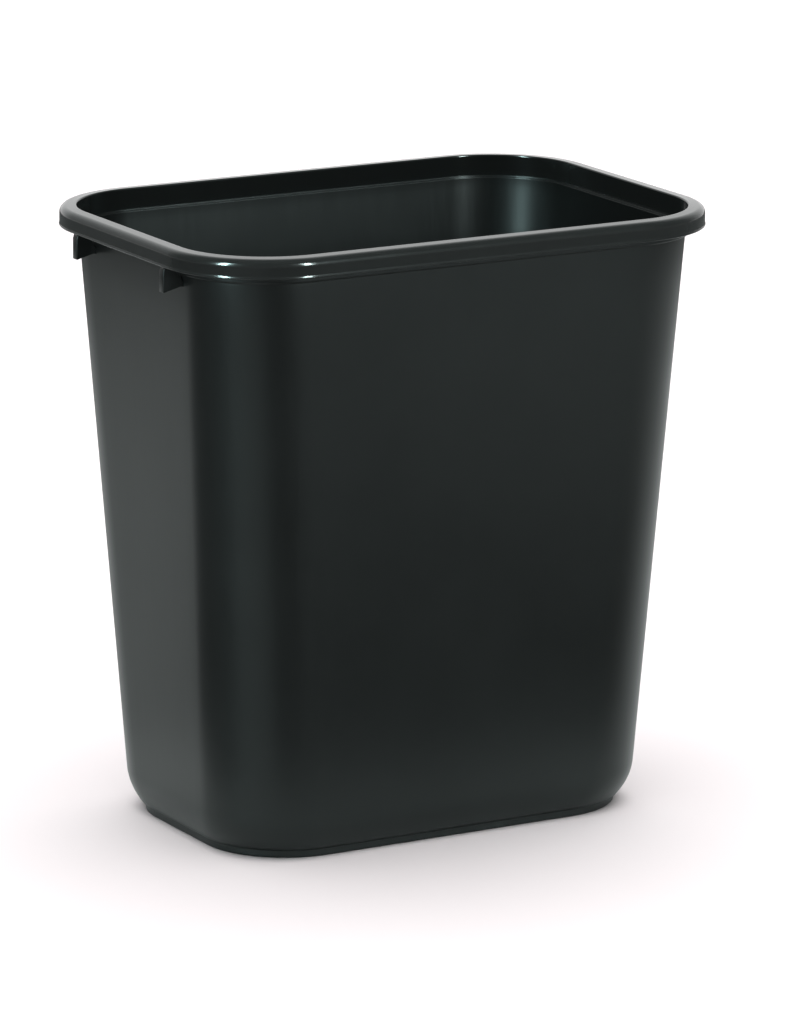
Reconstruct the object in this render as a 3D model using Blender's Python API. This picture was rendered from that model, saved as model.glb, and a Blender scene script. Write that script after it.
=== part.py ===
"""An office wastebasket: a tapered tub with round corners, a rolled rim and a foot ring.

The real tub is a single plastic moulding. Here each of its working features is a solid of
its own, with a hairline gap to its neighbours. X runs along the length, Y across the
width and Z upwards. The origin is the middle of the base, on the floor. Units are metres.
"""

import math

import bmesh
import bpy
from mathutils import Vector

# Driving dimensions
LENGTH = 0.3658
WIDTH = 0.2604
HEIGHT = 0.3810
RIM_CORNER = 0.0675
GAP = 0.0003

# Rolled rim
RIM_THICK = 0.0022
RIM_RADIUS = 0.0045
MOUTH_INSET = 0.0112
MOUTH_EDGE = 0.0009
CROWN_FALL = 0.0003
SKIRT_INSET = 0.0010
CROWN_DEPTH = 0.0048
BEAD_RADIUS = 0.0010
SKIRT_DEPTH = 0.0122

# Collar inside the rim, which steps in to the wall on a ledge
COLLAR_THICK = 0.0022
LEDGE_DEPTH = 0.0140
LEDGE_FILLET = 0.0007
COLLAR_DEPTH = 0.0200

# Tapered wall, which curves in to the foot at its bottom edge
WALL_THICK = 0.0022
WALL_INSET = 0.0128
WALL_CORNER = 0.0547
WALL_TAPER = 0.0604
HEEL_HEIGHT = 0.0207
HEEL_RADIUS = 0.042

# Floor and foot
FOOT_HEIGHT = 0.0054
FOOT_INSET = 0.0417
FOOT_THICK = 0.0024
FOOT_CHAMFER = 0.0005
FLOOR_THICK = 0.0025
FLOOR_INSET = 0.0428

# Lugs under the rim, two on each end
LUG_SPACING = 0.1140
LUG_WIDTH = 0.0058
LUG_DROP = 0.0155
LUG_RISE = 0.0030

CORNER_STEPS = 8
CURVE_STEPS = 4

WALL_TOP = HEIGHT - COLLAR_DEPTH
PLASTIC_COLOUR = (0.012, 0.013, 0.013, 1.0)
PLASTIC_ROUGHNESS = 0.42


def clear_scene():
    for obj in list(bpy.data.objects):
        bpy.data.objects.remove(obj, do_unlink=True)


def plastic(name):
    """The black moulding plastic, as a material for one sub-part."""
    material = bpy.data.materials.new(name + "_plastic")
    material.use_nodes = True
    shader = material.node_tree.nodes["Principled BSDF"]
    shader.inputs["Base Color"].default_value = PLASTIC_COLOUR
    shader.inputs["Roughness"].default_value = PLASTIC_ROUGHNESS
    shader.inputs["Metallic"].default_value = 0.0
    return material


def finish(name, mesh_edit):
    """Turns the edited mesh into a named object with its own material."""
    bmesh.ops.recalc_face_normals(mesh_edit, faces=mesh_edit.faces)
    mesh = bpy.data.meshes.new(name)
    mesh_edit.to_mesh(mesh)
    mesh_edit.free()
    mesh.shade_smooth()
    mesh.set_sharp_from_angle(angle=math.radians(30))
    mesh.materials.append(plastic(name))
    obj = bpy.data.objects.new(name, mesh)
    bpy.context.scene.collection.objects.link(obj)
    return obj


def corner_points(quarter, inset, corner, z):
    """The level arc of points round one corner, anticlockwise from above.

    The inset is the distance inwards from the outermost line of the rim. Quarter 0 is the
    corner at +X and +Y, and the others follow anticlockwise.
    """
    side_x, side_y = ((1, 1), (-1, 1), (-1, -1), (1, -1))[quarter]
    centre_x = side_x * (LENGTH / 2 - inset - corner)
    centre_y = side_y * (WIDTH / 2 - inset - corner)
    angles = [math.radians(90) * (quarter + step / CORNER_STEPS) for step in range(CORNER_STEPS + 1)]
    return [
        (centre_x + corner * math.cos(angle), centre_y + corner * math.sin(angle), z)
        for angle in angles
    ]


def straight_points(quarter, inset, corner, z):
    """The two ends of the level straight run that follows one corner, a gap short of each."""
    start = Vector(corner_points(quarter, inset, corner, z)[-1])
    end = Vector(corner_points((quarter + 1) % 4, inset, corner, z)[0])
    step = (end - start).normalized() * GAP
    return [start + step, end - step]


def outline_points(inset, corner, z):
    """The whole level loop of points round the tub: a rectangle with round corners."""
    return [
        point for quarter in range(4) for point in corner_points(quarter, inset, corner, z)
    ]


def pairs_round(items):
    """Each item with the one after it, and the last with the first."""
    return zip(items, items[1:] + items[:1])


def rim_section(points):
    """Adds the corner radius to (inset, z) points that run parallel to the rim."""
    return [(inset, RIM_CORNER - inset, z) for inset, z in points]


def make_ring(name, section):
    """A closed ring: the section's (inset, corner, z) points carried round the tub."""
    mesh_edit = bmesh.new()
    loops = [[mesh_edit.verts.new(point) for point in outline_points(*at)] for at in section]
    for near, far in pairs_round(loops):
        for (near_a, near_b), (far_a, far_b) in zip(pairs_round(near), pairs_round(far)):
            mesh_edit.faces.new((near_a, near_b, far_b, far_a))
    return finish(name, mesh_edit)


def make_run(name, section, points_at, quarter):
    """One stretch of such a ring, a corner or a straight run, with its two ends closed.

    The section runs down one face and back up the other, with as many points on each.
    """
    mesh_edit = bmesh.new()
    rows = [[mesh_edit.verts.new(point) for point in points_at(quarter, *at)] for at in section]
    for near, far in pairs_round(rows):
        for near_a, near_b, far_a, far_b in zip(near, near[1:], far, far[1:]):
            mesh_edit.faces.new((near_a, near_b, far_b, far_a))
    for step in range(len(rows) // 2 - 1):
        around = (rows[step], rows[step + 1], rows[-2 - step], rows[-1 - step])
        mesh_edit.faces.new([row[0] for row in around])
        mesh_edit.faces.new([row[-1] for row in around[::-1]])
    return finish(name, mesh_edit)


def arc(centre, radius, start, end, steps=CURVE_STEPS):
    """Points on an arc of a section; at 0 degrees it points inwards, at 90 upwards."""
    angles = [math.radians(start + (end - start) * i / steps) for i in range(steps + 1)]
    return [
        (centre[0] + radius * math.cos(a), centre[1] + radius * math.sin(a)) for a in angles
    ]


def make_rim_crown():
    """The rounded top of the rim, from the mouth's edge over to the skirt."""
    inner_edge = arc((MOUTH_INSET - MOUTH_EDGE, HEIGHT - MOUTH_EDGE), MOUTH_EDGE, 0, 90)
    shoulder_z = HEIGHT - CROWN_FALL - RIM_RADIUS
    shoulder = arc((SKIRT_INSET + RIM_RADIUS, shoulder_z), RIM_RADIUS, 90, 180, 6)
    under = arc((SKIRT_INSET + RIM_RADIUS, shoulder_z), RIM_RADIUS - RIM_THICK, 180, 90)
    under_edge = [(MOUTH_INSET, HEIGHT - CROWN_FALL - RIM_THICK)]
    return make_ring("rim_crown", rim_section(inner_edge + shoulder + under + under_edge))


def make_rim_skirt():
    """The short skirt that hangs from the crown, with a bead round its lower edge."""
    top = HEIGHT - CROWN_DEPTH - GAP
    bottom = HEIGHT - SKIRT_DEPTH
    bead = arc((BEAD_RADIUS, bottom + BEAD_RADIUS), BEAD_RADIUS, 90, 270, 6)
    bead[0] = (SKIRT_INSET, bottom + 2 * BEAD_RADIUS)
    inner = [(SKIRT_INSET + RIM_THICK, bottom), (SKIRT_INSET + RIM_THICK, top)]
    return make_ring("rim_skirt", rim_section([(SKIRT_INSET, top)] + bead + inner))


def make_rim_collar():
    """The upright band inside the rim, and the ledge on which it steps in to the wall."""
    top = HEIGHT - CROWN_FALL - RIM_THICK - GAP
    ledge = HEIGHT - LEDGE_DEPTH
    wall_inner = WALL_INSET + WALL_THICK
    outer = MOUTH_INSET - COLLAR_THICK
    points = [(MOUTH_INSET, top)]
    points += arc((MOUTH_INSET + LEDGE_FILLET, ledge + LEDGE_FILLET), LEDGE_FILLET, 180, 270)
    points += arc((wall_inner - LEDGE_FILLET, ledge - LEDGE_FILLET), LEDGE_FILLET, 90, 0)
    points += [(wall_inner, WALL_TOP), (WALL_INSET, WALL_TOP)]
    points += [(WALL_INSET, ledge - COLLAR_THICK), (outer, ledge - COLLAR_THICK), (outer, top)]
    return make_ring("rim_collar", rim_section(points))


def wall_point(z):
    """Inset and lean (inset gained per metre down) of the wall's outer face at height z."""
    inset = WALL_INSET + WALL_TAPER * (WALL_TOP - z)
    below = max(0.0, FOOT_HEIGHT + HEEL_HEIGHT - z)
    reach = math.sqrt(HEEL_RADIUS**2 - below**2)
    return inset + HEEL_RADIUS - reach, WALL_TAPER + below / reach


def wall_section():
    """The section of the tapered wall, whose bottom edge curves in to the foot."""
    heel_top = FOOT_HEIGHT + HEEL_HEIGHT
    heights = [WALL_TOP - GAP, (WALL_TOP + heel_top) / 2]
    heights += [heel_top - HEEL_HEIGHT * step / 6 for step in range(7)]
    outer, inner = [], []
    for z in heights:
        inset, lean = wall_point(z)
        tilt = math.atan(lean)
        outer.append((inset, WALL_CORNER, z))
        lift = WALL_THICK * math.sin(tilt) if z <= heel_top else 0.0
        depth = WALL_THICK * math.cos(tilt)
        inner.append((inset + depth, WALL_CORNER - depth, z + lift))
    return outer + inner[::-1]


def make_walls():
    """The four flat walls and the four round corners between them."""
    section = wall_section()
    for quarter, name in enumerate(("back_right", "back_left", "front_left", "front_right")):
        make_run("corner_" + name, section, corner_points, quarter)
    for quarter, name in enumerate(("back", "left", "front", "right")):
        make_run("wall_" + name, section, straight_points, quarter)


def make_foot_ring():
    """The upright ring under the base, on which the tub stands."""
    top = FOOT_HEIGHT - GAP
    inner = FOOT_INSET + FOOT_THICK
    points = [
        (FOOT_INSET, top),
        (FOOT_INSET, FOOT_CHAMFER),
        (FOOT_INSET + FOOT_CHAMFER, 0.0),
        (inner, 0.0),
        (inner, top),
    ]
    section = [(inset, WALL_CORNER + FOOT_INSET - inset, z) for inset, z in points]
    return make_ring("foot_ring", section)


def make_floor_panel():
    """The flat floor of the tub."""
    mesh_edit = bmesh.new()
    corner = WALL_CORNER + FOOT_INSET - FLOOR_INSET
    outline = outline_points(FLOOR_INSET, corner, FOOT_HEIGHT)
    floor = mesh_edit.faces.new([mesh_edit.verts.new(point) for point in outline])
    lifted = bmesh.ops.extrude_face_region(mesh_edit, geom=[floor])["geom"]
    corners = [item for item in lifted if isinstance(item, bmesh.types.BMVert)]
    bmesh.ops.translate(mesh_edit, vec=(0, 0, FLOOR_THICK), verts=corners)
    return finish("floor_panel", mesh_edit)


def make_lug(name, end, place_y):
    """A plate under the rim between skirt and wall. The end is 1 at +X and -1 at -X."""
    skirt_bottom = HEIGHT - SKIRT_DEPTH
    tip = skirt_bottom - LUG_DROP
    channel_top = HEIGHT - CROWN_FALL - RIM_THICK - GAP
    skirt_inner = SKIRT_INSET + RIM_THICK + GAP
    collar_outer = MOUTH_INSET - COLLAR_THICK - GAP
    ledge_under = HEIGHT - LEDGE_DEPTH - COLLAR_THICK - GAP
    shoulder = HEIGHT - CROWN_DEPTH - GAP
    wall_gap = WALL_INSET - GAP
    outline = [
        (SKIRT_INSET, skirt_bottom - GAP),
        (SKIRT_INSET, tip + LUG_RISE / 3),
        (SKIRT_INSET + LUG_RISE / 3, tip),
        (wall_gap - LUG_RISE, tip + LUG_RISE),
        (wall_gap, tip + LUG_RISE),
        (wall_gap, ledge_under),
        (collar_outer, ledge_under),
        (collar_outer, channel_top - LUG_RISE),
        (skirt_inner, shoulder),
        (skirt_inner, skirt_bottom - GAP),
    ]
    mesh_edit = bmesh.new()
    low_y = place_y - LUG_WIDTH / 2
    points = [(end * (LENGTH / 2 - inset), low_y, z) for inset, z in outline]
    side = mesh_edit.faces.new([mesh_edit.verts.new(point) for point in points])
    pushed = bmesh.ops.extrude_face_region(mesh_edit, geom=[side])["geom"]
    corners = [item for item in pushed if isinstance(item, bmesh.types.BMVert)]
    bmesh.ops.translate(mesh_edit, vec=(0, LUG_WIDTH, 0), verts=corners)
    return finish(name, mesh_edit)


def main():
    clear_scene()
    make_rim_crown()
    make_rim_skirt()
    make_rim_collar()
    make_walls()
    make_floor_panel()
    make_foot_ring()
    for end_name, end in (("left", -1), ("right", 1)):
        for side_name, side in (("front", -1), ("back", 1)):
            make_lug(f"lug_{side_name}_{end_name}", end, side * LUG_SPACING / 2)


main()
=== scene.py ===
"""Wastebasket: the finished tub with its rolled rim and lugs, on a pale studio floor.

The tub is modelled as one moulding, a quarter at a time: the outline of its floor is
extruded level by level down the foot, up the outside, over the rim and down the inside.
"""

import math

import bmesh
import bpy
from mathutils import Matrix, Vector


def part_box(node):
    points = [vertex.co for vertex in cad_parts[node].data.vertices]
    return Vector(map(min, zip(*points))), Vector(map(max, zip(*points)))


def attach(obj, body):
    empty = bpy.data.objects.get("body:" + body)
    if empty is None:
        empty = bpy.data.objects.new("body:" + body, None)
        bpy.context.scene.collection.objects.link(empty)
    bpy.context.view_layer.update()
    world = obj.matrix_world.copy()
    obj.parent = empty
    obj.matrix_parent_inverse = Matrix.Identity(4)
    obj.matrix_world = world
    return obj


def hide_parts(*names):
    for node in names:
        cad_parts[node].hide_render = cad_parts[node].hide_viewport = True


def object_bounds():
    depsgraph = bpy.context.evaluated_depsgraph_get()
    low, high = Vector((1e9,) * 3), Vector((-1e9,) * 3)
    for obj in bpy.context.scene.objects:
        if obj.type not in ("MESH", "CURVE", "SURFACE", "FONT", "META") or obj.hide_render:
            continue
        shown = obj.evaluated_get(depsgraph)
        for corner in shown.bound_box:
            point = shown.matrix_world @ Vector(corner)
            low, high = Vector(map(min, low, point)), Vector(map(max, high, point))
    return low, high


bl_info = {
    "name": "Wastebasket",
    "version": (1, 0, 0),
    "blender": (4, 5, 0),
    "location": "View3D > Sidebar > Wastebasket",
    "description": "Models a moulded wastebasket with a rolled rim around its CAD frame",
    "category": "Add Mesh",
}

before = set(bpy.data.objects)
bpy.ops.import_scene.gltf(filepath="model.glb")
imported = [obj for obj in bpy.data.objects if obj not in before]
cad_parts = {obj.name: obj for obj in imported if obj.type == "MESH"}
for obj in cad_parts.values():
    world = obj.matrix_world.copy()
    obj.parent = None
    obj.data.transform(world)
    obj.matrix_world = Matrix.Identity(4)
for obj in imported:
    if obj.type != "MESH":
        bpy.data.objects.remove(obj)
CAD_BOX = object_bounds()

MM = 0.001
TOUCH = 1e-5  # metres within which two places count as one
SAME_LINE = 1e-6  # metres within which a point lies on a line of the outline
TUB_NODES = [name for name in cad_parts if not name.startswith("lug_")]
LUG_NODES = [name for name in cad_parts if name.startswith("lug_")]


# ---------------------------------------------------------------- sizes from the frame


class TubSizes:
    """The tub's main sizes. An inset is a distance inwards from the rim's outermost line."""

    def __init__(self):
        low, high = (Vector(corner) for corner in CAD_BOX)
        self.half_x = high.x
        self.half_y = high.y
        self.top = high.z
        self.skirt_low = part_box("rim_skirt")[0].z
        self.skirt_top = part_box("rim_skirt")[1].z
        self.wall_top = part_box("rim_collar")[0].z
        self.collar_inset = self.half_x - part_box("rim_collar")[1].x
        self.wall_inset = self.half_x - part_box("wall_right")[1].x
        self.foot_inset = self.half_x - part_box("foot_ring")[1].x
        self.foot_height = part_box("floor_panel")[0].z
        self.floor_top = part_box("floor_panel")[1].z


SIZES = TubSizes()


class TubSettings(bpy.types.PropertyGroup):
    """Sizes of the tub that the frame doesn't fix."""

    rim_corner: bpy.props.FloatProperty(
        name="Rim Corner", description="Corner radius of the rim", default=67.5 * MM, unit="LENGTH"
    )
    wall_corner: bpy.props.FloatProperty(
        name="Wall Corner", description="Corner radius of the wall", default=54.7 * MM, unit="LENGTH"
    )
    wall: bpy.props.FloatProperty(
        name="Wall", description="Thickness of the plastic", default=2.2 * MM, unit="LENGTH"
    )
    mouth_inset: bpy.props.FloatProperty(
        name="Mouth Inset", description="Inset of the mouth's edge", default=11.2 * MM, unit="LENGTH"
    )
    skirt_inset: bpy.props.FloatProperty(
        name="Skirt Inset", description="Inset of the skirt's face", default=0.6 * MM, unit="LENGTH"
    )
    ledge_drop: bpy.props.FloatProperty(
        name="Ledge Drop", description="Depth of the inner ledge", default=14 * MM, unit="LENGTH"
    )
    heel_height: bpy.props.FloatProperty(
        name="Heel Height", description="Height of the curved bottom edge", default=20.7 * MM, unit="LENGTH"
    )
    heel_radius: bpy.props.FloatProperty(
        name="Heel Radius", description="Radius of the curved bottom edge", default=42 * MM, unit="LENGTH"
    )
    taper: bpy.props.FloatProperty(
        name="Taper", description="Inset that the wall gains per metre down", default=0.0604
    )
    corner_cuts: bpy.props.IntProperty(
        name="Corner Cuts", description="Edges round each corner", default=24, min=6
    )
    wall_levels: bpy.props.IntProperty(
        name="Wall Levels", description="Levels up the straight wall", default=14, min=2
    )


class LugSettings(bpy.types.PropertyGroup):
    """Sizes of the lugs that the frame doesn't fix."""

    rise: bpy.props.FloatProperty(
        name="Rise", description="How far the lower edge rises to the wall", default=3 * MM, unit="LENGTH"
    )
    flare: bpy.props.FloatProperty(
        name="Flare", description="Width that the lug gains at the wall", default=2.6 * MM, unit="LENGTH"
    )
    round_edge: bpy.props.FloatProperty(
        name="Round Edge", description="Radius of the lug's edges", default=0.5 * MM, unit="LENGTH"
    )


class PlasticSettings(bpy.types.PropertyGroup):
    """Colour and gloss of the moulded plastic."""

    colour: bpy.props.FloatVectorProperty(
        name="Colour", description="Colour of the plastic", subtype="COLOR", size=3,
        default=(0.0086, 0.0103, 0.0100), min=0, max=1,
    )
    roughness: bpy.props.FloatProperty(
        name="Roughness", description="Roughness of the wall", subtype="FACTOR", default=0.32, min=0, max=1
    )
    rim_roughness: bpy.props.FloatProperty(
        name="Rim Roughness", description="Roughness of the rim", subtype="FACTOR",
        default=0.15, min=0, max=1,
    )
    refraction: bpy.props.FloatProperty(
        name="Refraction", description="Index of refraction of the plastic", default=1.38, min=1, max=2
    )


class StageSettings(bpy.types.PropertyGroup):
    """Lamps, sky and camera."""

    azimuth: bpy.props.FloatProperty(
        name="Azimuth", description="Camera angle round the tub", subtype="ANGLE",
        default=math.radians(-29.45),
    )
    elevation: bpy.props.FloatProperty(
        name="Elevation", description="Camera angle above the floor", subtype="ANGLE",
        default=math.radians(13.5),
    )
    roll: bpy.props.FloatProperty(
        name="Roll", description="Camera roll", subtype="ANGLE", default=math.radians(0.2)
    )
    distance: bpy.props.FloatProperty(
        name="Distance", description="Camera distance from the tub", default=3.98, unit="LENGTH"
    )
    lens: bpy.props.FloatProperty(name="Lens", description="Focal length in millimetres", default=288.6)
    sky_behind: bpy.props.FloatProperty(
        name="Sky Behind", description="Brightness of the studio behind the tub", default=1.3, min=0
    )
    sky_front: bpy.props.FloatProperty(
        name="Sky in Front", description="Brightness of the studio in front of the tub", default=0.15, min=0
    )
    overhead: bpy.props.FloatProperty(
        name="Overhead", description="Light from above on the floor", default=3.4, min=0
    )
    key_power: bpy.props.FloatProperty(
        name="Key Power", description="Right soft box, in watts", default=160
    )
    fill_power: bpy.props.FloatProperty(
        name="Fill Power", description="Left soft box, in watts", default=240
    )


# ---------------------------------------------------------------- modelling helpers


def start_piece(name):
    """Names the object that was just added, and its mesh."""
    piece = bpy.context.active_object
    piece.name = name
    piece.data.name = name
    return piece


def deselect_objects():
    bpy.ops.object.select_all(action="DESELECT")


def select_points(piece, wanted):
    """Selects the points whose place the wanted function accepts, and their edges and faces."""
    mesh_edit = bmesh.from_edit_mesh(piece.data)
    for point in mesh_edit.verts:
        point.select_set(bool(wanted(point.co)))
    mesh_edit.select_flush_mode()
    bmesh.update_edit_mesh(piece.data)


def select_edges(piece, wanted):
    """Selects the edges that the wanted function accepts."""
    bpy.ops.mesh.select_mode(type="EDGE")
    bpy.ops.mesh.select_all(action="DESELECT")
    mesh_edit = bmesh.from_edit_mesh(piece.data)
    for edge in mesh_edit.edges:
        edge.select_set(bool(wanted(edge)))
    bmesh.update_edit_mesh(piece.data)


def apply_modifier(piece, kind, **settings):
    modifier = piece.modifiers.new(kind.title(), kind)
    for name, value in settings.items():
        setattr(modifier, name, value)
    bpy.ops.object.modifier_apply(modifier=modifier.name)


def arc(inset, z, radius, start, end, steps=4):
    """Levels (inset, z) on an arc; at 0 degrees it points inwards, at 90 upwards."""
    angles = [math.radians(start + (end - start) * step / steps) for step in range(steps + 1)]
    return [(inset + radius * math.cos(a), z + radius * math.sin(a)) for a in angles]


# ---------------------------------------------------------------- tub

FLOOR_INSETS = (70 * MM, 105 * MM)  # insets of the levels between the foot and the floor's middle
LEAST_CORNER = 12 * MM  # corner radius below which the floor's levels don't go
CROWN_RADIUS = 4.5 * MM  # outer radius of the roll that joins the rim's top and its skirt
MOUTH_EDGE = 0.9 * MM  # radius of the mouth's upper edge
FOOT_THICKNESS = 2.4 * MM
HEEL_LEVELS = 8  # levels up the curved bottom edge
SMOOTH_ANGLE = math.radians(35)
LEAST_CHANGE = 1e-9  # a smaller move or change of size is left out
LONG_RUN = 15 * MM  # edges of the straight sides longer than this are cut
RUN_CUTS = 5


def wall_level(settings, z):
    """Inset and lean of the wall's outer face at height z."""
    inset = SIZES.wall_inset + settings.taper * (SIZES.wall_top - z)
    below = max(0.0, SIZES.foot_height + settings.heel_height - z)
    reach = math.sqrt(settings.heel_radius**2 - below**2)
    return inset + settings.heel_radius - reach, settings.taper + below / reach


def wall_heights(settings):
    """Heights at which the wall has a level, from the foot's ridge to the collar."""
    heel_top = SIZES.foot_height + settings.heel_height
    lowest = SIZES.foot_height + 0.6 * MM
    heel = [lowest + (heel_top - lowest) * step / HEEL_LEVELS for step in range(HEEL_LEVELS)]
    span = SIZES.wall_top - heel_top
    return heel + [heel_top + span * step / settings.wall_levels for step in range(settings.wall_levels + 1)]


def foot_levels():
    """From the middle of the underside down the foot ring and out to the ridge over it."""
    foot = SIZES.foot_inset
    inner = foot + FOOT_THICKNESS
    under = SIZES.foot_height
    levels = [(inset, under) for inset in reversed(FLOOR_INSETS)] + [(inner + 3 * MM, under)]
    levels += arc(inner + 1 * MM, under - 1 * MM, 1 * MM, 90, 180, 3)
    levels += arc(inner - 0.7 * MM, 0.7 * MM, 0.7 * MM, 0, -90, 3)
    levels += arc(foot + 0.7 * MM, 0.7 * MM, 0.7 * MM, -90, -180, 3)
    levels += arc(foot - 0.5 * MM, under - 1.0 * MM, 0.5 * MM, 0, 90, 3)
    return levels


def outer_levels(settings):
    """Up the outer face of the wall."""
    return [(wall_level(settings, z)[0], z) for z in wall_heights(settings)]


def inner_levels(settings):
    """Down the inner face of the wall, a wall's thickness in from the outer face."""
    levels = []
    for z in reversed(wall_heights(settings)):
        inset, lean = wall_level(settings, z)
        tilt = math.atan(lean)
        lift = settings.wall * math.sin(tilt) * min(1.0, (SIZES.wall_top - z) / (40 * MM))
        levels.append((inset + settings.wall * math.cos(tilt), z + lift))
    return levels


def rim_levels(settings):
    """From the wall out under the ledge, up the channel, and round the rolled rim to the mouth."""
    collar = SIZES.collar_inset
    under_ledge = SIZES.top - settings.ledge_drop - settings.wall
    skirt = settings.skirt_inset
    skirt_inner = skirt + settings.wall
    crown = CROWN_RADIUS
    hollow = crown - settings.wall
    levels = arc(SIZES.wall_inset - 1.2 * MM, under_ledge - 1.2 * MM, 1.2 * MM, 0, 90)
    levels += arc(collar + 0.6 * MM, under_ledge + 0.6 * MM, 0.6 * MM, -90, -180)
    levels += arc(collar - 0.8 * MM, SIZES.skirt_top + hollow - 0.8 * MM, 0.8 * MM, 0, 90, 3)
    levels += arc(skirt + crown, SIZES.skirt_top, hollow, 90, 180, 5)
    levels += arc(skirt_inner - 0.4 * MM, SIZES.skirt_low + 0.4 * MM, 0.4 * MM, 0, -90, 3)
    levels += arc(0.9 * MM, SIZES.skirt_low + 0.6 * MM, 0.6 * MM, -90, -225, 8)
    levels += [(skirt, SIZES.skirt_low + 1.8 * MM)]
    levels += arc(skirt + crown, SIZES.skirt_top + 0.3 * MM, crown, 180, 90, 12)
    levels += arc(settings.mouth_inset - MOUTH_EDGE, SIZES.top - MOUTH_EDGE, MOUTH_EDGE, 90, 0, 6)
    return levels


def collar_levels(settings):
    """Down the collar inside the mouth and over the ledge to the wall."""
    ledge = SIZES.top - settings.ledge_drop
    wall_inner = SIZES.wall_inset + settings.wall
    bend = 0.2 * MM
    levels = arc(settings.mouth_inset + bend, ledge + bend, bend, -180, -90)
    levels += arc(wall_inner - bend, ledge - bend, bend, 90, 0)
    return levels


def floor_levels():
    """Across the floor inside, from the wall to the middle."""
    insets = (SIZES.foot_inset + 9 * MM,) + FLOOR_INSETS
    return [(inset, SIZES.floor_top) for inset in insets]


def all_levels(settings):
    """Every level as (inset, corner radius, height), from the underside round to the floor."""
    outer, inner = settings.wall_corner, settings.wall_corner - settings.wall

    def base(places):
        return [(inset, max(outer + SIZES.foot_inset - inset, LEAST_CORNER), z) for inset, z in places]

    levels = base(foot_levels())
    levels += [(inset, outer, z) for inset, z in outer_levels(settings)]
    rim = rim_levels(settings) + collar_levels(settings)
    levels += [(inset, settings.rim_corner - inset, z) for inset, z in rim]
    levels += [(inset, inner, z) for inset, z in inner_levels(settings)]
    return levels + base(floor_levels())


def held(levels):
    """Adds a level close to each end of a long run that meets short steps, so that it stays flat."""
    step, hold = 2 * MM, 0.4 * MM  # the longest short step, and the added level's distance
    runs = [math.dist(before[::2], after[::2]) for before, after in zip(levels, levels[1:])]
    added = [levels[0]]
    for place, run in enumerate(runs):
        before, after = levels[place], levels[place + 1]

        def between(share):
            return tuple(start + (end - start) * share for start, end in zip(before, after))

        if run > step and place > 0 and runs[place - 1] < step:
            added.append(between(hold / run))
        if run > step and place + 1 < len(runs) and runs[place + 1] < step:
            added.append(between(1 - hold / run))
        added.append(after)
    return added


def add_first_level(settings, level):
    """A quarter of the first outline: half of a long side, one round corner, half of a short side."""
    inset, corner, z = level
    centre_x, centre_y = SIZES.half_x - inset - corner, SIZES.half_y - inset - corner
    deselect_objects()
    bpy.ops.mesh.primitive_circle_add(
        vertices=4 * settings.corner_cuts, radius=corner, location=(centre_x, centre_y, z)
    )
    tub = start_piece("tub")
    bpy.ops.object.transform_apply(location=True, rotation=False, scale=False)
    bpy.ops.object.mode_set(mode="EDIT")
    bpy.ops.mesh.select_mode(type="VERT")
    select_points(tub, lambda place: place.x < centre_x - SAME_LINE or place.y < centre_y - SAME_LINE)
    bpy.ops.mesh.delete(type="VERT")
    select_points(tub, lambda place: abs(place.y - centre_y) < SAME_LINE)
    bpy.ops.mesh.extrude_vertices_move(TRANSFORM_OT_translate={"value": (0, -centre_y, 0)})
    select_points(tub, lambda place: abs(place.x - centre_x) < SAME_LINE)
    bpy.ops.mesh.extrude_vertices_move(TRANSFORM_OT_translate={"value": (-centre_x, 0, 0)})
    return tub


def extrude_level(tub, before, after):
    """Extrudes the selected outline to the next level: its corner is resized, then all of it moves in."""
    inset, radius, height = before
    next_inset, next_radius, next_height = after
    bpy.ops.mesh.extrude_edges_move(TRANSFORM_OT_translate={"value": (0, 0, next_height - height)})
    mesh_edit = bmesh.from_edit_mesh(tub.data)
    level = [point for point in mesh_edit.verts if point.select]
    on_long_side = [point for point in level if point.co.x <= SAME_LINE]
    on_short_side = [point for point in level if point.co.y <= SAME_LINE]
    corner = [point for point in level if point.co.x > SAME_LINE and point.co.y > SAME_LINE]

    def pick(points):
        bpy.ops.mesh.select_all(action="DESELECT")
        for point in points:
            point.select_set(True)
        mesh_edit.select_flush(True)
        bmesh.update_edit_mesh(tub.data)

    ratio = next_radius / radius
    if abs(ratio - 1) > LEAST_CHANGE:
        centre = SIZES.half_x - inset - radius, SIZES.half_y - inset - radius, next_height
        pick(corner)
        bpy.ops.transform.resize(value=(ratio, ratio, 1), center_override=centre)
    outwards = inset - next_inset
    shift = outwards - (next_radius - radius)
    if abs(shift) > LEAST_CHANGE:
        pick(corner)
        bpy.ops.transform.translate(value=(shift, shift, 0))
    if abs(outwards) > LEAST_CHANGE:
        pick(on_short_side)
        bpy.ops.transform.translate(value=(outwards, 0, 0))
        pick(on_long_side)
        bpy.ops.transform.translate(value=(0, outwards, 0))
    pick(level)


def run_cuts(edge):
    """Whether an edge runs level along a straight side and is long enough to be cut."""
    along = edge.verts[0].co - edge.verts[1].co
    straight = abs(along.z) < TOUCH and min(abs(along.x), abs(along.y)) < TOUCH
    return straight and along.length > LONG_RUN


def build_tub(settings):
    """The whole moulding but for its lugs, as one closed mesh."""
    levels = held(all_levels(settings))
    tub = add_first_level(settings, levels[0])
    bpy.ops.mesh.select_all(action="SELECT")
    for before, after in zip(levels, levels[1:]):
        extrude_level(tub, before, after)
    select_edges(tub, run_cuts)
    bpy.ops.mesh.subdivide(number_cuts=RUN_CUTS)
    bpy.ops.object.mode_set(mode="OBJECT")
    apply_modifier(tub, "MIRROR", use_axis=(True, True, False), merge_threshold=TOUCH)
    close_middles(tub, levels)
    return tub


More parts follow.
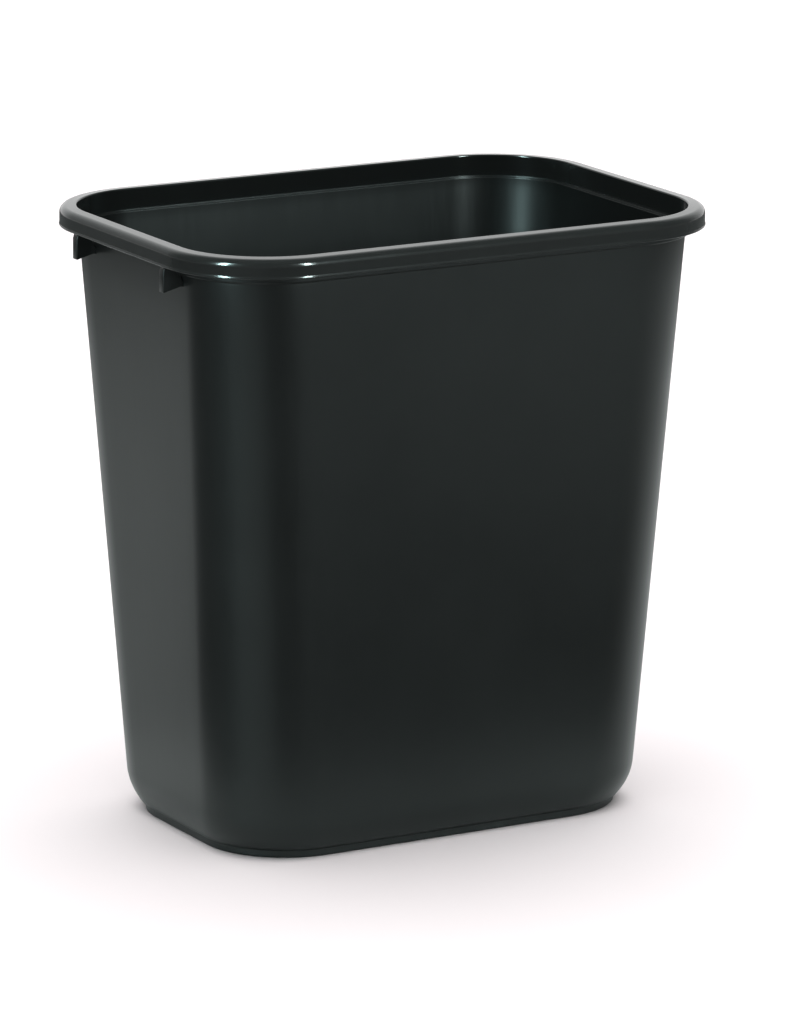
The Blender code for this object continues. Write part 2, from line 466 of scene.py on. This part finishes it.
def close_middles(tub, levels):
    """Closes the underside and the floor with a face each, and turns all faces outwards."""
    bpy.ops.object.mode_set(mode="EDIT")
    for level in (levels[0], levels[-1]):
        select_edges(tub, lambda edge: edge.is_boundary and abs(edge.verts[0].co.z - level[2]) < TOUCH)
        bpy.ops.mesh.edge_face_add()
    bpy.ops.mesh.select_all(action="SELECT")
    bpy.ops.mesh.normals_make_consistent(inside=False)
    bpy.ops.object.mode_set(mode="OBJECT")
    bpy.ops.object.shade_smooth_by_angle(angle=SMOOTH_ANGLE)


# ---------------------------------------------------------------- lugs

LUG_SMOOTH_ANGLE = math.radians(40)
LUG_FACE_INSET = 0.3 * MM
SKIRT_CLEARANCE = 1 * MM  # how far the lug steps in behind the skirt's face


def build_lug(node, settings, tub_settings):
    """One lug: a block cut into steps where it enters the rim and the wall, flared at the wall."""
    low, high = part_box(node)
    side = 1 if low.x > 0 else -1
    middle_y = (low.y + high.y) / 2
    width = high.y - low.y

    def at_inset(inset):
        return side * (SIZES.half_x - inset)

    face = at_inset(LUG_FACE_INSET)
    root = at_inset(SIZES.wall_inset + tub_settings.wall * 0.6)
    top = SIZES.skirt_top + 1 * MM
    tip = low.z
    deselect_objects()
    bpy.ops.mesh.primitive_cube_add(
        size=1,
        location=((face + root) / 2, middle_y, (top + tip) / 2),
        scale=(abs(face - root), width, top - tip),
    )
    lug = start_piece("rim_" + node)
    bpy.ops.object.transform_apply(location=True, rotation=False, scale=True)
    bpy.ops.object.mode_set(mode="EDIT")
    wall_face = SIZES.wall_inset
    flare_start = at_inset(wall_face - 3.2 * MM)
    flare_middle = at_inset(wall_face - 1.3 * MM)
    step_in = at_inset(wall_face - 9 * MM)
    for x in (step_in, flare_start, flare_middle):
        bpy.ops.mesh.select_all(action="SELECT")
        bpy.ops.mesh.bisect(plane_co=(x, 0, 0), plane_no=(1, 0, 0))
    channel = SIZES.top - tub_settings.ledge_drop - tub_settings.wall * 0.4
    skirt_step = SIZES.skirt_low + 0.6 * MM
    for z in (channel, skirt_step):
        bpy.ops.mesh.select_all(action="SELECT")
        bpy.ops.mesh.bisect(plane_co=(0, 0, z), plane_no=(0, 0, 1))
    bpy.ops.mesh.select_mode(type="VERT")
    shoulder = at_inset(SIZES.collar_inset + tub_settings.wall * 0.5)
    select_points(lug, lambda place: place.z > channel - TOUCH and side * (place.x - shoulder) < 0)
    mesh_edit = bmesh.from_edit_mesh(lug.data)
    for point in [point for point in mesh_edit.verts if point.select]:
        point.co.x = shoulder
    bmesh.update_edit_mesh(lug.data)
    select_points(lug, lambda place: place.z > skirt_step - TOUCH and abs(place.x - face) < TOUCH)
    bpy.ops.transform.translate(value=(-side * SKIRT_CLEARANCE, 0, 0))
    for x, share in ((flare_middle, 0.3), (root, 1.0)):
        select_points(lug, lambda place: abs(place.x - x) < TOUCH and place.z < channel)
        bpy.ops.transform.resize(
            value=(1, 1 + share * settings.flare / width, 1), center_override=(0, middle_y, 0)
        )
    for x, share in ((step_in, 0.33), (flare_start, 0.8), (flare_middle, 1.0), (root, 0.9)):
        select_points(lug, lambda place: abs(place.x - x) < TOUCH and place.z < tip + TOUCH)
        bpy.ops.transform.translate(value=(0, 0, share * settings.rise))
    bpy.ops.mesh.select_all(action="SELECT")
    bpy.ops.mesh.remove_doubles(threshold=TOUCH)
    bpy.ops.mesh.normals_make_consistent(inside=False)
    bpy.ops.object.mode_set(mode="OBJECT")
    limits = {"limit_method": "ANGLE", "angle_limit": LUG_SMOOTH_ANGLE}
    apply_modifier(lug, "BEVEL", width=settings.round_edge, segments=3, **limits)
    bpy.ops.object.shade_smooth_by_angle(angle=LUG_SMOOTH_ANGLE)
    return lug


# ---------------------------------------------------------------- shader maths


class Signal:
    """A node socket that takes part in Python arithmetic; each operator adds a Math node."""

    def __init__(self, recipe, socket):
        self.recipe = recipe
        self.socket = socket

    def maths(self, operation, *values):
        return self.recipe.node("ShaderNodeMath", {"operation": operation}, dict(enumerate(values)))

    def __add__(self, other):
        return self.maths("ADD", self, other)

    def __sub__(self, other):
        return self.maths("SUBTRACT", self, other)

    def __rsub__(self, other):
        return self.maths("SUBTRACT", other, self)

    def __mul__(self, other):
        return self.maths("MULTIPLY", self, other)

    def __pow__(self, other):
        return self.maths("POWER", self, other)

    def __abs__(self):
        return self.maths("ABSOLUTE", self)

    __radd__ = __add__
    __rmul__ = __mul__

    def above(self, start, end):
        """0 below start, 1 above end, smooth between; start may be the larger."""
        return self.recipe.node(
            "ShaderNodeMapRange",
            {"interpolation_type": "SMOOTHSTEP"},
            {"Value": self, "From Min": start, "From Max": end},
        )


class Recipe:
    """A node tree, written as a list of nodes and expressions."""

    def __init__(self, owner, coordinates="Object"):
        owner.use_nodes = True
        self.tree = owner.node_tree
        self.tree.nodes.clear()
        self.places = self.node("ShaderNodeTexCoord", {}, {}, coordinates)
        self.x, self.y, self.z = (
            self.node("ShaderNodeSeparateXYZ", {}, {"Vector": self.places}, axis) for axis in "XYZ"
        )

    def node(self, kind, settings, values, output=0):
        """Adds a node; values set or link its inputs, and the named output is returned."""
        made = self.tree.nodes.new(kind)
        for name, value in settings.items():
            setattr(made, name, value)
        for name, value in values.items():
            if isinstance(value, Signal):
                self.tree.links.new(value.socket, made.inputs[name])
            else:
                made.inputs[name].default_value = value
        return Signal(self, made.outputs[output]) if len(made.outputs) else None

    def stretched(self, scale):
        """The object's places, scaled by three factors, for a pattern with a direction."""
        values = {"Vector": self.places, "Scale": scale}
        return self.node("ShaderNodeMapping", {"vector_type": "POINT"}, values)

    def noise(self, scale, detail, places=None):
        values = {"Scale": scale, "Detail": detail, "Vector": places or self.places}
        return self.node("ShaderNodeTexNoise", {}, values, "Fac")

    def blend(self, share, first, second):
        """A mix of two colours."""
        made = self.tree.nodes.new("ShaderNodeMix")
        made.data_type = "RGBA"
        for socket, value in zip([made.inputs["Factor"]] + list(made.inputs[6:8]), (share, first, second)):
            if isinstance(value, Signal):
                self.tree.links.new(value.socket, socket)
            else:
                socket.default_value = value
        return Signal(self, made.outputs[2])

    def mixed(self, share, first, second):
        """The first shader, or the second where the share is 1."""
        return self.node("ShaderNodeMixShader", {}, {0: share, 1: first, 2: second})

    def bump(self, height, distance):
        values = {"Height": height, "Distance": distance, "Strength": 1}
        return self.node("ShaderNodeBump", {}, values, "Normal")

    def surface(self, values):
        shader = self.node("ShaderNodeBsdfPrincipled", {}, values, "BSDF")
        self.node("ShaderNodeOutputMaterial", {}, {"Surface": shader})


# ---------------------------------------------------------------- materials

PLASTIC_TINT = (0.9, 1.0, 0.985, 1.0)  # tint of the plastic's reflections
RIM_START = (13.4 * MM, 12.9 * MM)  # depths below the top between which the rim's gloss and its painted light, a lighter base colour, begin
FILM_TINT = (0.9, 1, 0.98, 1)
FILM_CORE = 50 * MM  # corner radius of the core that the film's reach is measured from
BLACK = (0, 0, 0, 1)
WHITE = (1, 1, 1, 1)


def tinted(colour, factor):
    """The colour made lighter or darker, with full alpha."""
    return tuple(channel * factor for channel in colour) + (1.0,)


def moulded_plastic(name, settings):
    """Black moulded plastic: slightly wavy satin walls; a glossier rim whose base colour is lightened as
    painted light; a foot lightened by a painted reflection, in patches that are also rubbed rougher.
    """
    material = bpy.data.materials.new(name)
    recipe = Recipe(material)
    rim = recipe.z.above(SIZES.top - RIM_START[0], SIZES.top - RIM_START[1])
    foot = recipe.z.above(6 * MM, 1 * MM)
    cloudy = recipe.noise(14, 3)
    drawn = recipe.noise(1, 3, recipe.stretched((420, 420, 9)))
    grain = recipe.noise(1900, 2)
    waves = recipe.noise(1, 1.5, recipe.stretched((10, 10, 5)))
    rubbed_and_sheen = recipe.noise(60, 4).above(0.55, 0.8)

    deep = recipe.blend(cloudy, tinted(settings.colour, 0.85), tinted(settings.colour, 1.15))
    # Painted light: the rim, collar and skirt get a lighter base colour that stands in for light brightening
    # them.
    deep = recipe.blend(rim, deep, tinted(settings.colour, 2.2))
    # Painted reflection: the foot gets a lighter base colour, strongest in the rubbed patches, standing in
    # for the bright floor it mirrors; the same patches are also rougher.
    base_with_painted_light = recipe.blend(foot * (0.4 + 0.6 * rubbed_and_sheen), deep, tinted(settings.colour, 4.5))
    wall_gloss = settings.roughness + (cloudy - 0.5) * 0.06 + (drawn - 0.5) * 0.05
    gloss = wall_gloss + rim * (settings.rim_roughness - settings.roughness) + foot * rubbed_and_sheen * 0.2
    height = waves * 0.5 + drawn * 0.004 + grain * 0.002
    normal = recipe.bump(height, 1 * MM)
    recipe.surface(
        {
            "Base Color": base_with_painted_light,
            "Roughness": gloss,
            "IOR": settings.refraction,
            "Specular Tint": PLASTIC_TINT,
            "Normal": normal,
        }
    )
    return material


def plain_paper(name, colour):
    """Matt white studio paper with a faint mottle."""
    material = bpy.data.materials.new(name)
    recipe = Recipe(material)
    mottle = recipe.noise(3, 2)
    tone = recipe.blend(mottle, tinted(colour, 0.985), tinted(colour, 1.0))
    recipe.surface({"Base Color": tone, "Roughness": 0.9, "Specular IOR Level": 0.0})
    return material


def shading_film(name, corner_x, corner_y):
    """A film that dims what the plastic mirrors of the floor, in soft bands round the front left corner.

    A turn is an angle round that corner in degrees, 0 straight ahead of the front wall, and the
    reach is the distance from the tub's round-cornered core.
    """
    material = bpy.data.materials.new(name)
    recipe = Recipe(material)
    right, ahead = recipe.x - corner_x, corner_y - recipe.y
    turn = right.maths("ARCTAN2", right, ahead) * math.degrees(1)
    past_x = recipe.x.maths("MAXIMUM", abs(recipe.x) + corner_x, 0)
    past_y = recipe.y.maths("MAXIMUM", abs(recipe.y) + corner_y, 0)
    reach = (past_x * past_x + past_y * past_y) ** 0.5 - FILM_CORE
    front = turn.above(0, 25) * turn.above(90, 60)
    across = 0.87 * recipe.x + 0.49 * recipe.y
    bright = turn.above(-136, -150) * (1 - reach.above(0.6, 0.25) * across.above(-0.145, -0.17))
    bands = 0.14 + 0.74 * bright + 0.46 * turn.above(-90, -66)
    bands = bands - 0.56 * turn.above(-42, -20) + 0.66 * turn.above(0, 36)
    bands = bands + 0.28 * turn.above(34, 76) - 0.27 * turn.above(140, 175)
    bands = bands * (1 - 0.9 * front * reach.above(0.95, 0.35))
    bands = 0.8 * bands * (1 - 0.8 * reach.above(1.1, 1.45))
    near = reach.above(0.16, 0.03)
    clear = recipe.node("ShaderNodeBsdfTransparent", {}, {"Color": FILM_TINT})
    black = recipe.node("ShaderNodeBsdfTransparent", {}, {"Color": BLACK})
    shader = recipe.mixed(bands + near * (1 - bands), black, clear)
    recipe.node("ShaderNodeOutputMaterial", {}, {"Surface": shader})
    return material


def dress(piece, material, *replaced):
    """Gives a piece its material and body, and hides the CAD nodes it stands for."""
    piece.data.materials.clear()
    piece.data.materials.append(material)
    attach(piece, "root")
    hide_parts(*replaced)


def plastic_material():
    found = bpy.data.materials.get("black_moulding")
    return found or moulded_plastic("black_moulding", bpy.context.scene.wastebasket_plastic)


# ---------------------------------------------------------------- stage

PAPER_COLOUR = (0.93, 0.88, 0.89)
ROUND_EDGES = 96  # edges of the floor's and the film's outline
FLOOR_RADIUS = 12
FILM_RADIUS = 6
FILM_CORNER = 66 * MM  # inset of the point that the film's bands turn round
SEEN_SKY = 1.1  # brightness of the sky that the camera sees, just above white
SKY_AZIMUTH = math.radians(150.5)  # where the bright part of the mirrored sky lies
OVERHEAD_ANGLE = math.radians(80)  # how wide the lamp above is
SOFT_BOX_ELEVATION = math.radians(22)
SOFT_BOX_DISTANCE = 3.2
TARGET_HEIGHT = 190 * MM
SENSOR_WIDTH = 36
CAMERA_SHIFT = (0.0233, -0.0124)
CLIP_END = 60


def direction(azimuth, elevation):
    """Unit vector towards a place at that azimuth from the front and elevation above the floor."""
    level = math.cos(elevation)
    return Vector((level * math.sin(azimuth), -level * math.cos(azimuth), math.sin(elevation)))


def add_floor():
    deselect_objects()
    bpy.ops.mesh.primitive_circle_add(vertices=ROUND_EDGES, radius=FLOOR_RADIUS, fill_type="NGON")
    floor = start_piece("floor")
    floor.data.materials.append(plain_paper("studio_paper", PAPER_COLOUR))


def add_soft_box(name, azimuth, width, height, power, colour):
    """A lamp that only mirrored rays meet, turned to the middle of the tub."""
    target = Vector((0, 0, SIZES.top / 2))
    place = target + direction(math.radians(azimuth), SOFT_BOX_ELEVATION) * SOFT_BOX_DISTANCE
    deselect_objects()
    bpy.ops.object.light_add(type="AREA", location=place)
    lamp = bpy.context.active_object
    lamp.name = name
    lamp.rotation_euler = (target - place).to_track_quat("-Z", "Y").to_euler()
    lamp.data.shape = "RECTANGLE"
    lamp.data.size = width
    lamp.data.size_y = height
    lamp.data.energy = power
    lamp.data.color = colour
    lamp.visible_camera = lamp.visible_diffuse = False


def add_sky(bright, dim):
    """White for the camera; what the tub mirrors is bright behind it and dim in front of it."""
    world = bpy.data.worlds.new("white_studio")
    recipe = Recipe(world, "Generated")
    away = direction(SKY_AZIMUTH, 0)
    behind = recipe.x * away.x + recipe.y * away.y
    seen = recipe.node("ShaderNodeLightPath", {}, {}, "Is Camera Ray")
    glows = [
        recipe.node("ShaderNodeBackground", {}, {"Strength": strength, "Color": WHITE})
        for strength in (dim, bright, SEEN_SKY)
    ]
    mirrored = recipe.mixed(behind.above(0.25, 0.95), glows[0], glows[1])
    shader = recipe.mixed(seen, mirrored, glows[2])
    recipe.node("ShaderNodeOutputWorld", {}, {"Surface": shader})
    bpy.context.scene.world = world


def add_film():
    """A film over the floor that only mirrored rays meet."""
    deselect_objects()
    bpy.ops.mesh.primitive_circle_add(
        vertices=ROUND_EDGES, radius=FILM_RADIUS, fill_type="NGON", location=(0, 0, 1 * MM)
    )
    film = start_piece("shading_film")
    corner_x, corner_y = FILM_CORNER - SIZES.half_x, FILM_CORNER - SIZES.half_y
    film.data.materials.append(shading_film("shading_film", corner_x, corner_y))
    film.visible_camera = film.visible_diffuse = film.visible_shadow = False
    film.visible_transmission = film.visible_volume_scatter = False


def add_overhead(power):
    """A wide lamp above that lights the floor and the plastic but isn't mirrored."""
    deselect_objects()
    bpy.ops.object.light_add(type="SUN", location=(0, 0, 2))
    lamp = bpy.context.active_object
    lamp.name = "overhead"
    lamp.data.energy = power
    lamp.data.angle = OVERHEAD_ANGLE
    lamp.visible_glossy = False


def add_camera(settings):
    back = direction(settings.azimuth, settings.elevation)
    target = Vector((0, 0, TARGET_HEIGHT))
    bpy.ops.object.camera_add(location=target + back * settings.distance)
    camera = bpy.context.active_object
    camera.name = "camera"
    camera.rotation_euler = (-back).to_track_quat("-Z", "Y").to_euler()
    camera.rotation_euler.rotate_axis("Z", settings.roll)
    camera.data.lens = settings.lens
    camera.data.sensor_width = SENSOR_WIDTH
    camera.data.sensor_fit = "HORIZONTAL"
    camera.data.shift_x, camera.data.shift_y = CAMERA_SHIFT
    camera.data.clip_end = CLIP_END
    bpy.context.scene.camera = camera


# ---------------------------------------------------------------- operators and panel


class WASTEBASKET_OT_tub(bpy.types.Operator):
    """Model the tub with its wall, rim, collar, floor and foot"""

    bl_idname = "wastebasket.tub"
    bl_label = "Tub"

    def execute(self, context):
        tub = build_tub(context.scene.wastebasket_tub)
        dress(tub, plastic_material(), *TUB_NODES)
        return {"FINISHED"}


class WASTEBASKET_OT_lugs(bpy.types.Operator):
    """Model the lugs under the rim at both ends"""

    bl_idname = "wastebasket.lugs"
    bl_label = "Lugs"

    def execute(self, context):
        for node in LUG_NODES:
            lug = build_lug(node, context.scene.wastebasket_lugs, context.scene.wastebasket_tub)
            dress(lug, plastic_material(), node)
        return {"FINISHED"}


class WASTEBASKET_OT_stage(bpy.types.Operator):
    """Set up the floor, the lamps and the camera"""

    bl_idname = "wastebasket.stage"
    bl_label = "Stage"

    def execute(self, context):
        settings = context.scene.wastebasket_stage
        add_floor()
        add_film()
        add_sky(settings.sky_behind, settings.sky_front)
        add_overhead(settings.overhead)
        add_soft_box("left_soft_box", -72, 0.45, 1.7, settings.fill_power, (0.75, 0.98, 1.0))
        add_soft_box("right_soft_box", 14, 0.35, 1.5, settings.key_power, (0.9, 1.0, 1.0))
        add_camera(settings)
        context.scene.view_settings.view_transform = "Standard"
        return {"FINISHED"}


class WASTEBASKET_PT_panel(bpy.types.Panel):
    """The wastebasket's settings and build buttons"""

    bl_label = "Wastebasket"
    bl_idname = "WASTEBASKET_PT_panel"
    bl_space_type = "VIEW_3D"
    bl_region_type = "UI"
    bl_category = "Wastebasket"

    def draw(self, context):
        layout = self.layout
        for group, buttons in PANEL_GROUPS:
            box = layout.box()
            settings = getattr(context.scene, group)
            for name in settings.__annotations__:
                box.prop(settings, name)
            for button in buttons:
                box.operator(button)


PANEL_GROUPS = (
    ("wastebasket_tub", ("wastebasket.tub",)),
    ("wastebasket_lugs", ("wastebasket.lugs",)),
    ("wastebasket_plastic", ()),
    ("wastebasket_stage", ("wastebasket.stage",)),
)
SETTINGS = (
    ("wastebasket_tub", TubSettings),
    ("wastebasket_lugs", LugSettings),
    ("wastebasket_plastic", PlasticSettings),
    ("wastebasket_stage", StageSettings),
)
CLASSES = (WASTEBASKET_OT_tub, WASTEBASKET_OT_lugs, WASTEBASKET_OT_stage, WASTEBASKET_PT_panel)


def register():
    for name, group in SETTINGS:
        bpy.utils.register_class(group)
        setattr(bpy.types.Scene, name, bpy.props.PointerProperty(type=group))
    for cls in CLASSES:
        bpy.utils.register_class(cls)


def unregister():
    for cls in reversed(CLASSES):
        bpy.utils.unregister_class(cls)
    for name, group in reversed(SETTINGS):
        delattr(bpy.types.Scene, name)
        bpy.utils.unregister_class(group)


def main():
    register()
    bpy.ops.wastebasket.tub()
    bpy.ops.wastebasket.lugs()
    bpy.ops.wastebasket.stage()


if __name__ == "__main__":
    main()
